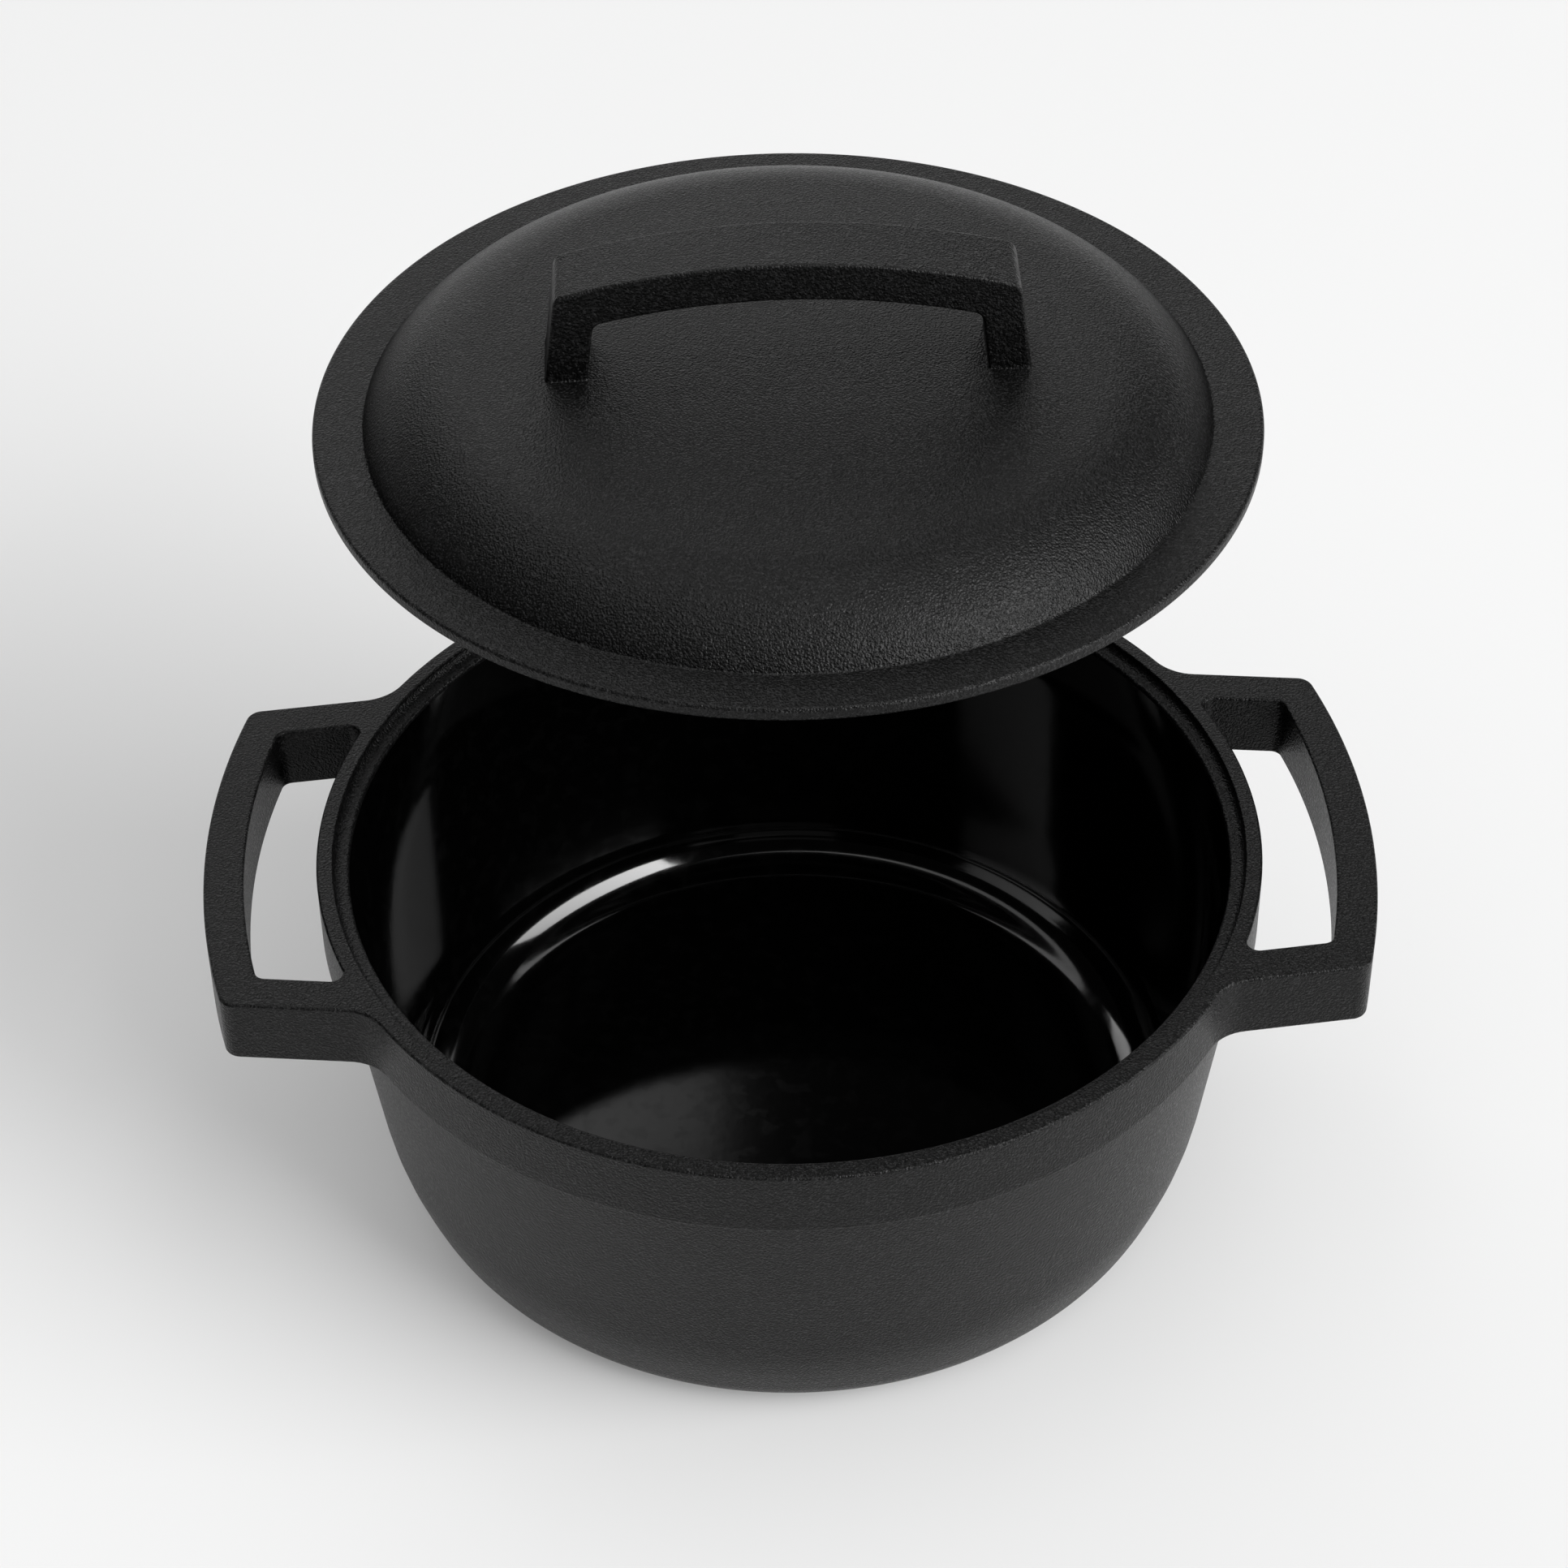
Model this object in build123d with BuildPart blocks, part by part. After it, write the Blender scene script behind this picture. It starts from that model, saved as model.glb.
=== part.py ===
from build123d import *
import math
import os

# Round cast iron dutch oven: a pot with two loop handles cast on, and a lift-off domed lid
# with an arched handle cast on. Millimetres, +Z up, the origin in the middle of the pot's
# base, +X through a side handle. The lid is drawn lifted off its seat, up and towards +Y.

# ---------------------------------------------------------------- pot: sizes
pot_height = 108.0
rim_radius = 125.0
band_height = 18.8  # thick band round the mouth, and depth of the side handles
band_overhang = 2.9  # the band stands this far out over the wall
rim_ring_width = 4.3  # flat ring on top, outside the lid's seat
seat_width = 4.1  # ledge that carries the lid
seat_depth = 3.0
knee_height = 24.0  # where the wall starts to turn in to the base
knee_inset = 8.6
knee_fillet = 80.0
base_corner_inset = 17.3
base_corner_fillet = 18.0
straight_bore_depth = 19.0  # from the ledge down to where the bore starts to taper
cavity_corner_inset = 11.6
cavity_knee_fillet = 60.0
cavity_corner_fillet = 16.4
floor_thickness = 4.1
lining_thickness = 0.5  # glossy enamel inside
lining_drop = 1.5  # the enamel stops this far below the ledge

# ---------------------------------------------------------------- side handles: sizes
handle_reach = 29.4  # from the rim to the middle of the grip's outer face
handle_half_span = 60.3  # at the rim
handle_taper = 6.4  # degrees by which each arm leans in
handle_bow_radius = 209.7
handle_bar = 10.6
handle_outer_corner = 4.5
handle_window_corner = 3.0
handle_root_fillet = 13.0

# ---------------------------------------------------------------- lid: sizes
lid_clearance = 1.2  # round the flange, in its seat
flange_thickness = 3.7
flange_width = 12.7
shoulder_radius = 34.0
shoulder_angle = 56.5  # degrees of slope where the dome leaves the flange
crown_angle = 2.8  # degrees of slope where the crown meets the shoulder
lid_wall = 3.6
lid_lining_thickness = 0.5
lid_lining_drop = 1.5  # the enamel stops this far above the flange's underside

# ---------------------------------------------------------------- lid handle: sizes
lid_handle_rise = 31.2  # from the crown to the top of the arch
lid_handle_half_span = 60.4  # at the feet
lid_handle_taper = 7.0
lid_handle_bow_radius = 209.7
lid_handle_bar = 10.3
lid_handle_width = 19.7
lid_handle_outer_corner = 3.5
lid_handle_inner_corner = 3.0
lid_handle_foot_fillet = 1.2

# ---------------------------------------------------------------- roundings
edge_round = 0.8
seat_root_round = 2.4
seat_edge_round = 0.9
rim_inner_round = 0.4
wall_root_round = 1.6
flange_round = 1.1
crease_round = 0.8
hollow_edge_round = 1.0

# ---------------------------------------------------------------- the lid's place
seat_gap = 0.3  # left between the seated flange and the ledge
lid_lift = 115.0
lid_draw_back = 32.0
lid_draw_aside = 2.0

# ---------------------------------------------------------------- what follows from them
band_bottom = pot_height - band_height
seat_radius = rim_radius - rim_ring_width
bore_radius = seat_radius - seat_width
ledge_height = pot_height - seat_depth
wall_top_radius = rim_radius - band_overhang
lining_top = ledge_height - lining_drop
floor_top = floor_thickness + lining_thickness
lid_radius = seat_radius - lid_clearance
crease_radius = lid_radius - flange_width
flange_underside = ledge_height + seat_gap + lid_lift
flange_top = flange_underside + flange_thickness
shoulder_slope = math.radians(shoulder_angle)
crown_slope = math.radians(crown_angle)
shoulder_centre_radius = crease_radius - shoulder_radius * math.sin(shoulder_slope)
shoulder_centre_height = -shoulder_radius * math.cos(shoulder_slope)
crown_radius = (shoulder_centre_radius + shoulder_radius * math.sin(crown_slope)) / math.sin(crown_slope)
crown_centre_height = shoulder_centre_height - (crown_radius - shoulder_radius) * math.cos(crown_slope)
crown_top = crown_centre_height + crown_radius


def bar_outline(root, half_span, taper, reach, bow_radius, inset):
    """Face under a bowed bar on two leaning legs: +X runs out to the bar, Y runs across."""
    lean = math.tan(math.radians(taper))
    side = inset / math.cos(math.radians(taper))
    near = half_span - side
    far = near - reach * lean
    with BuildSketch() as outline:
        with BuildLine():
            Polyline((root, near), (root + reach, far), (root + reach, -far), (root, -near), close=True)
        make_face()
        with Locations((root + reach - bow_radius, 0)):
            Circle(bow_radius - inset, mode=Mode.INTERSECT)
    return outline.sketch


def bowed_loop(root, half_span, taper, reach, bow_radius, bar, outer_corner, inner_corner):
    """U of constant width, bowed at its far end, with rounded corners, open towards the root."""
    outside = bar_outline(root, half_span, taper, reach, bow_radius, 0)
    inside = bar_outline(root, half_span, taper, reach, bow_radius, bar)
    with BuildSketch() as window:
        add(inside)
        fillet(window.vertices().group_by(Axis.X)[-1], inner_corner)
    with BuildSketch() as loop:
        add(outside)
        fillet(loop.vertices().group_by(Axis.X)[-1], outer_corner)
        add(window.sketch, mode=Mode.SUBTRACT)
    return loop.sketch


def cavity_outline(growth):
    """Wire of the cavity's floor, corner and wall up to the enamel's top edge, moved out by growth."""
    corner = bore_radius - cavity_corner_inset + growth
    wall = bore_radius + growth
    floor = floor_top - growth
    with BuildLine() as outline:
        FilletPolyline(
            (0, floor),
            (corner, floor),
            (wall, ledge_height - straight_bore_depth),
            (wall, lining_top),
            radius=[cavity_corner_fillet + growth, cavity_knee_fillet + growth],
        )
    return outline.line


def dome_section(inset, base):
    """Half section under the dome's skin moved in by inset, from the axis out, above height base."""
    centre = (shoulder_centre_radius, shoulder_centre_height)
    radius = shoulder_radius - inset
    drop = base - shoulder_centre_height
    start = math.degrees(math.asin(drop / radius))
    turn = 90 - crown_angle - start
    with BuildSketch() as section:
        with BuildLine():
            shoulder = CenterArc(centre, radius, start, turn)
            crown = CenterArc((0, crown_centre_height), crown_radius - inset, 90 - crown_angle, crown_angle)
            Polyline(crown @ 1, (0, base), shoulder @ 0)
        make_face()
    return section.sketch


def circles_at(builder, radius, height):
    """Round edges of a part that have this radius and lie at this height."""
    return builder.edges().filter_by(GeomType.CIRCLE).filter_by(
        lambda e: abs(e.radius - radius) < 0.01 and abs(e.arc_center.Z - height) < 0.01
    )


# ================================================================ pot casting
# the arms start inside the band, out of sight
arm_start = math.sqrt(rim_radius**2 - handle_half_span**2) - handle_root_fillet
arm_run = rim_radius - arm_start
side_loop = bowed_loop(
    arm_start,
    handle_half_span + arm_run * math.tan(math.radians(handle_taper)),
    handle_taper,
    arm_run + handle_reach,
    handle_bow_radius,
    handle_bar,
    handle_outer_corner,
    handle_window_corner,
)

with BuildPart() as pot_casting:
    # the wall and base, as a solid of revolution
    with BuildSketch(Plane.YZ):
        with BuildLine():
            FilletPolyline(
                (0, 0),
                (wall_top_radius - base_corner_inset, 0),
                (wall_top_radius - knee_inset, knee_height),
                (wall_top_radius, band_bottom),
                radius=[base_corner_fillet, knee_fillet],
            )
            Polyline((wall_top_radius, band_bottom), (0, band_bottom), (0, 0))
        make_face()
    revolve(axis=Axis.Z)

    # the band and both handle loops, one flat plate
    with BuildSketch(Plane.XY.offset(band_bottom)) as plate:
        add(side_loop)
        add(side_loop.mirror(Plane.YZ))
        Circle(rim_radius)
        on_rim = plate.vertices().filter_by(lambda v: abs(math.hypot(v.X, v.Y) - rim_radius) < 0.01)
        arm_middle = handle_half_span - handle_bar / 2
        fillet(on_rim.filter_by(lambda v: abs(v.Y) < arm_middle), handle_window_corner)
        outer_roots = plate.vertices().filter_by(
            lambda v: abs(math.hypot(v.X, v.Y) - rim_radius) < 0.01 and abs(v.Y) > arm_middle
        )
        fillet(outer_roots, handle_root_fillet)
    extrude(amount=band_height)
    top = pot_casting.faces().filter_by(Axis.Z).sort_by(Axis.Z)[-1]
    fillet(top.edges(), edge_round)
    underside = pot_casting.faces().filter_by(Axis.Z).filter_by_position(
        Axis.Z, band_bottom - 0.01, band_bottom + 0.01
    )
    wall_root = circles_at(pot_casting, wall_top_radius, band_bottom)
    fillet(underside.edges().filter_by(lambda e: e not in wall_root), edge_round)
    fillet(circles_at(pot_casting, wall_top_radius, band_bottom), wall_root_round)

    # the cavity and the lid's seat
    with BuildSketch(Plane.YZ):
        with BuildLine():
            add(cavity_outline(lining_thickness))
            Polyline(
                (bore_radius + lining_thickness, lining_top),
                (bore_radius, lining_top),
                (bore_radius, ledge_height),
                (seat_radius, ledge_height),
                (seat_radius, pot_height),
                (0, pot_height),
                (0, floor_thickness),
            )
        make_face()
    revolve(axis=Axis.Z, mode=Mode.SUBTRACT)
    fillet(circles_at(pot_casting, seat_radius, ledge_height), seat_root_round)
    fillet(circles_at(pot_casting, bore_radius, ledge_height), seat_edge_round)
    fillet(circles_at(pot_casting, seat_radius, pot_height), rim_inner_round)
pot_casting.part.label = "pot_casting"

# ================================================================ pot lining
with BuildPart() as pot_lining:
    with BuildSketch(Plane.YZ):
        with BuildLine():
            add(cavity_outline(lining_thickness))
            Line((bore_radius + lining_thickness, lining_top), (bore_radius, lining_top))
            add(cavity_outline(0))
            Line((0, floor_top), (0, floor_thickness))
        make_face()
    revolve(axis=Axis.Z)
pot_lining.part.label = "pot_lining"

# ================================================================ lid handle, a step towards the lid
lid_section = Plane(origin=(lid_draw_aside, lid_draw_back, flange_top), x_dir=(0, 1, 0), z_dir=(1, 0, 0))
lid_axis = Axis((lid_draw_aside, lid_draw_back, flange_top), (0, 0, 1))
arch_plane = Plane(origin=(lid_draw_aside, lid_draw_back, flange_top), x_dir=(0, 0, 1), z_dir=(0, 1, 0))
foot_level = crown_top - lid_wall  # the feet end inside the dome's wall

with BuildPart() as lid_handle:
    with BuildSketch(arch_plane):
        add(
            bowed_loop(
                foot_level,
                lid_handle_half_span,
                lid_handle_taper,
                lid_wall + lid_handle_rise,
                lid_handle_bow_radius,
                lid_handle_bar,
                lid_handle_outer_corner,
                lid_handle_inner_corner,
            )
        )
    extrude(amount=lid_handle_width / 2, both=True)
    sides = lid_handle.faces().filter_by(Axis.Y)
    foot_ends = lid_handle.faces().sort_by(Axis.Z)[:2].edges()
    fillet(sides.edges().filter_by(lambda e: e not in foot_ends), edge_round)

# ================================================================ lid casting
with BuildPart() as lid_casting:
    with BuildSketch(lid_section):
        add(dome_section(0, -flange_thickness))
        with Locations(((crease_radius + lid_radius) / 2, -flange_thickness / 2)):
            Rectangle(lid_radius - crease_radius, flange_thickness)
        add(dome_section(lid_wall + lid_lining_thickness, -flange_thickness), mode=Mode.SUBTRACT)
        add(dome_section(lid_wall, lid_lining_drop - flange_thickness), mode=Mode.SUBTRACT)
    revolve(axis=lid_axis)
    fillet(circles_at(lid_casting, lid_radius, flange_top), flange_round)
    fillet(circles_at(lid_casting, lid_radius, flange_underside), flange_round)
    fillet(circles_at(lid_casting, crease_radius, flange_top), crease_round)
    hollow_edge = lid_casting.faces().sort_by(Axis.Z)[0].inner_wires()[0].edges()
    fillet(hollow_edge, hollow_edge_round)
    add(lid_handle.part)
    fillet(lid_casting.edges(Select.NEW), lid_handle_foot_fillet)
lid_casting.part.label = "lid_casting"

# ================================================================ lid lining
with BuildPart() as lid_lining:
    with BuildSketch(lid_section):
        add(dome_section(lid_wall, lid_lining_drop - flange_thickness))
        add(
            dome_section(lid_wall + lid_lining_thickness, lid_lining_drop - flange_thickness),
            mode=Mode.SUBTRACT,
        )
    revolve(axis=lid_axis)
lid_lining.part.label = "lid_lining"

os.makedirs("parts", exist_ok=True)
export_step(pot_casting.part, "parts/pot_casting.step")
export_step(pot_lining.part, "parts/pot_lining.step")
export_step(lid_casting.part, "parts/lid_casting.step")
export_step(lid_lining.part, "parts/lid_lining.step")
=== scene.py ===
"""Round cast iron dutch oven, its lid lifted over the pot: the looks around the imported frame.

Every size is in metres, in the frame's own axes: +Z up, +X through a side handle, -Y to the cook.
"""

import logging
import math
from dataclasses import dataclass, field
from enum import Enum

import bpy
import numpy as np
from mathutils import Matrix, Vector
from mathutils.geometry import delaunay_2d_cdt
from mathutils.kdtree import KDTree


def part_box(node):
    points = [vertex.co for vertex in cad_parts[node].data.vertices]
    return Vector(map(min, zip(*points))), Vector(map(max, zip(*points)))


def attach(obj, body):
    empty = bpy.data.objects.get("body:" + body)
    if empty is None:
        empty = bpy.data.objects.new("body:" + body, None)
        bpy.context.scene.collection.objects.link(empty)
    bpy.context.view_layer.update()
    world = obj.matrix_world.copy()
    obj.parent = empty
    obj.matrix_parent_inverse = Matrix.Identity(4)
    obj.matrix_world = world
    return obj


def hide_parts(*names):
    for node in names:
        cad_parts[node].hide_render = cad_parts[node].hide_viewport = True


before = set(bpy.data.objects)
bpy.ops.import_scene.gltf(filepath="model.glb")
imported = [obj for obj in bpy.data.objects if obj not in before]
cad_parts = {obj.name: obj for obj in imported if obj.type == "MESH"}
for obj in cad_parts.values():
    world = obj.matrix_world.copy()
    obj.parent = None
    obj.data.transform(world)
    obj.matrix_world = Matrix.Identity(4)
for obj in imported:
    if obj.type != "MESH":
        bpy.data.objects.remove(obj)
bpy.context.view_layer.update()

log = logging.getLogger("dutch_oven")

MM = 0.001
FULL_TURN = 2 * math.pi
TURN_STEPS = 360  # points round every turned surface
ARC_STEP = math.radians(6)  # a rounding has a point this often,
LONG_STEP = 2.5 * MM  # or this often where it is wide,
FINEST_STEP = 0.002  # but no more often than this, in radians
ROUND_STEPS = 6  # faces across a plate's rounded edge
QUARTER_PULL = 0.5523  # the pull of a curve's handles that makes it a quarter circle
WELD = 1e-6  # corners nearer than this are one
SMOOTH = 0.999  # two ways out are the same where the cosine between them is over this


class Slot(Enum):
    """The record's material slots."""

    MATTE = "matte_enamel"
    GLOSS = "gloss_enamel"


class Body(Enum):
    """The bodies that the pieces ride on."""

    POT = "pot"
    LID = "lid"


# ---------------------------------------------------------------- drawing


@dataclass
class Trace:
    """A line drawn on a plane: its points, and at each the way out of the metal."""

    points: np.ndarray
    out: np.ndarray

    def __add__(self, other: "Trace") -> "Trace":
        """One trace, then the other; where they meet smoothly the shared point is kept once."""
        same_place = np.linalg.norm(self.points[-1] - other.points[0]) < WELD
        same_way = np.dot(self.out[-1], other.out[0]) > SMOOTH
        skip = 1 if same_place and same_way else 0
        return Trace(
            np.vstack([self.points, other.points[skip:]]),
            np.vstack([self.out, other.out[skip:]]),
        )

    def flipped(self, across: tuple[float, float]) -> "Trace":
        """The mirror image, walked the other way; across has -1 for the coordinate that flips."""
        factors = np.array(across)
        return Trace((self.points * factors)[::-1], (self.out * factors)[::-1])


def arc(
    centre: tuple[float, float], radius: float, start: float, end: float, hollow: bool = False
) -> Trace:
    """An arc from one angle to another, in radians.

    Args:
        centre: The arc's centre.
        radius: Its radius.
        start: The angle of its first point.
        end: The angle of its last point.
        hollow: True where the metal is outside the arc, so that the way out is to the centre.

    Returns:
        The arc's trace.
    """
    step = max(min(ARC_STEP, LONG_STEP / radius), FINEST_STEP)
    steps = max(2, math.ceil(abs(end - start) / step))
    angles = np.linspace(start, end, steps + 1)
    around = np.column_stack([np.cos(angles), np.sin(angles)])
    return Trace(np.array(centre) + radius * around, -around if hollow else around)


def rounded_path(corners: list[tuple[float, float]], radii: list[float]) -> Trace:
    """Straight runs joined by tangent arcs, with the metal on the left of the walk.

    Args:
        corners: The corner points, both ends included.
        radii: The rounding of each inner corner; 0 leaves it sharp.

    Returns:
        The path's trace. A sharp corner is there twice, once for each run.
    """
    points = [np.array(c, float) for c in corners]
    runs = [(b - a) / np.linalg.norm(b - a) for a, b in zip(points, points[1:])]
    right = [np.array([run[1], -run[0]]) for run in runs]
    trace = Trace(points[0][None], right[0][None])
    for i, radius in enumerate(radii):
        corner, before, after = points[i + 1], runs[i], runs[i + 1]
        turn = math.atan2(before[0] * after[1] - before[1] * after[0], before @ after)
        back = radius * math.tan(abs(turn) / 2)
        side = math.copysign(1, turn)
        steps = max(1, math.ceil(abs(turn) / ARC_STEP)) if radius else 1
        centre = corner - before * back - right[i] * side * radius
        for share in np.linspace(0, 1, steps + 1):
            a = share * turn
            out = np.array(
                [
                    right[i][0] * math.cos(a) - right[i][1] * math.sin(a),
                    right[i][0] * math.sin(a) + right[i][1] * math.cos(a),
                ]
            )
            trace.points = np.vstack([trace.points, centre + side * radius * out])
            trace.out = np.vstack([trace.out, out])
    return trace + Trace(points[-1][None], right[-1][None])


@dataclass
class Line:
    """A straight edge through a point, with the way out of the metal on one side."""

    point: np.ndarray
    out: np.ndarray

    def moved(self, distance: float) -> "Line":
        """The parallel line this far out."""
        return Line(self.point + self.out * distance, self.out)

    def meet(self, centre: tuple[float, float], radius: float) -> np.ndarray:
        """Where the line crosses a circle, on the side of larger x."""
        along = np.array([self.out[1], -self.out[0]])
        along = along if along[0] > 0 else -along
        start = self.point - np.array(centre)
        half = start @ along
        return self.point + along * (math.sqrt(half**2 - start @ start + radius**2) - half)


def heading(vector: np.ndarray) -> float:
    """The angle of a vector on its plane."""
    return math.atan2(vector[1], vector[0])


@dataclass
class BowedLoop:
    """A bar bowed along its length on two leaning legs: the outline of every handle.

    The first coordinate runs out from the root to the bar, the second across, and only the half
    with a positive second coordinate is drawn.
    """

    root: float  # where the legs start
    half_span: float  # from the middle to the outside of a leg, there
    taper: float  # degrees that each leg leans in
    reach: float  # the bar's farthest point
    bow_radius: float

    def leg(self) -> Line:
        """The outer edge of the leg."""
        lean = math.radians(self.taper)
        foot = np.array([self.root, self.half_span])
        return Line(foot, np.array([math.sin(lean), math.cos(lean)]))

    def bow_centre(self) -> tuple[float, float]:
        """Centre of the bowed edges."""
        return (self.reach - self.bow_radius, 0.0)

    def edge(self, inset: float, corner: float, hollow: bool) -> tuple[Trace, Line]:
        """The bow and the corner, from the middle of the bar to the leg.

        Args:
            inset: How far the edge lies inside the outer one.
            corner: The corner's radius.
            hollow: True for the inner edge, whose metal is on the outside.

        Returns:
            The trace, and the straight edge of the leg that goes on from it.
        """
        centre = self.bow_centre()
        radius = self.bow_radius - inset
        leg = self.leg().moved(-inset)
        hub = leg.moved(-corner).meet(centre, radius - corner)
        split = heading(hub - np.array(centre))
        bow = arc(centre, radius, 0.0, split, hollow)
        knuckle = arc(tuple(hub), corner, split, heading(leg.out), hollow)
        return bow + knuckle, Line(leg.point, -leg.out if hollow else leg.out)


# ---------------------------------------------------------------- meshes


@dataclass
class Patch:
    """A stretch of surface: corners, the way out at each, and faces."""

    corners: np.ndarray
    out: np.ndarray
    faces: list[tuple[int, ...]]


def loft(rows: list[tuple[np.ndarray, np.ndarray]], closed: bool = False) -> Patch:
    """Faces between rows of as many points.

    Args:
        rows: Each row's points and ways out.
        closed: True where the last point of a row joins its first.

    Returns:
        The surface.
    """
    count = len(rows[0][0])
    faces = []
    for r in range(len(rows) - 1):
        for i in range(count if closed else count - 1):
            j = (i + 1) % count
            faces.append((r * count + i, r * count + j, (r + 1) * count + j, (r + 1) * count + i))
    return Patch(np.vstack([r[0] for r in rows]), np.vstack([r[1] for r in rows]), faces)


def inside(point: Vector, loop: np.ndarray) -> bool:
    """Whether a point lies inside a closed loop on its plane."""
    x, y = point
    a, b = loop, np.roll(loop, -1, axis=0)
    crosses = (a[:, 1] > y) != (b[:, 1] > y)
    span = np.where(crosses, b[:, 1] - a[:, 1], 1.0)
    at = a[:, 0] + (y - a[:, 1]) * (b[:, 0] - a[:, 0]) / span
    return bool(np.count_nonzero(crosses & (x < at)) % 2)


def filled(outer: np.ndarray, holes: list[np.ndarray], more: np.ndarray | None = None) -> tuple:
    """Triangles inside a loop and outside its holes.

    Args:
        outer: The outer loop's points.
        holes: The holes' loops.
        more: Further points inside.

    Returns:
        The points on the plane, and the triangles.
    """
    loops = [outer, *holes]
    points, edges = [], []
    for loop in loops:
        start = len(points)
        points += [Vector(p) for p in loop]
        edges += [(start + i, start + (i + 1) % len(loop)) for i in range(len(loop))]
    points += [Vector(p) for p in more] if more is not None else []
    flat, _, faces, *_ = delaunay_2d_cdt(points, edges, [], 0, WELD / 10)
    kept = []
    for face in faces:
        middle = sum((flat[i] for i in face), Vector((0, 0))) / len(face)
        if inside(middle, outer) and not any(inside(middle, hole) for hole in holes):
            kept.append(tuple(face))
    return np.array([tuple(p) for p in flat]), kept


def welded(name: str, patches: list[Patch], material: bpy.types.Material) -> bpy.types.Object:
    """One closed mesh from patches that meet edge to edge, each keeping its own ways out.

    Args:
        name: The piece's name.
        patches: The surfaces.
        material: The finish.

    Returns:
        The piece's object.
    """
    corners = np.vstack([p.corners for p in patches])
    tree = KDTree(len(corners))
    for i, corner in enumerate(corners):
        tree.insert(corner, i)
    tree.balance()
    first = [min(found[1] for found in tree.find_range(corner, WELD)) for corner in corners]
    used: dict[int, int] = {}
    faces, ways, offset = [], [], 0
    for patch in patches:
        for face in patch.faces:
            ring, way = [], []
            for i in face:
                vertex = first[offset + i]
                if vertex not in ring:
                    ring.append(vertex)
                    way.append(patch.out[i])
            if len(ring) < 3:
                continue
            a, b, c = (corners[v] for v in ring[:3])
            if np.dot(np.cross(b - a, c - a), sum(way)) < 0:
                ring.reverse()
                way.reverse()
            faces.append([used.setdefault(v, len(used)) for v in ring])
            ways += way
        offset += len(patch.corners)
    mesh = bpy.data.meshes.new(name)
    mesh.from_pydata([corners[v] for v in used], [], faces)
    mesh.shade_smooth()
    mesh.normals_split_custom_set(ways)
    mesh.materials.append(material)
    piece = bpy.data.objects.new(name, mesh)
    bpy.context.scene.collection.objects.link(piece)
    log.info("%s: %d faces", name, len(faces))
    return piece


def maths(tree: bpy.types.NodeTree, operation: str, *values: object) -> bpy.types.NodeSocket:
    """Adds a math node.

    Args:
        tree: The tree that it goes into.
        operation: What it works out.
        values: Its inputs in order, sockets or numbers.

    Returns:
        Its output.
    """
    node = tree.nodes.new("ShaderNodeMath")
    node.operation = operation
    for socket, value in zip(node.inputs, values):
        if isinstance(value, bpy.types.NodeSocket):
            tree.links.new(value, socket)
        else:
            socket.default_value = value
    return node.outputs[0]


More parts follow.
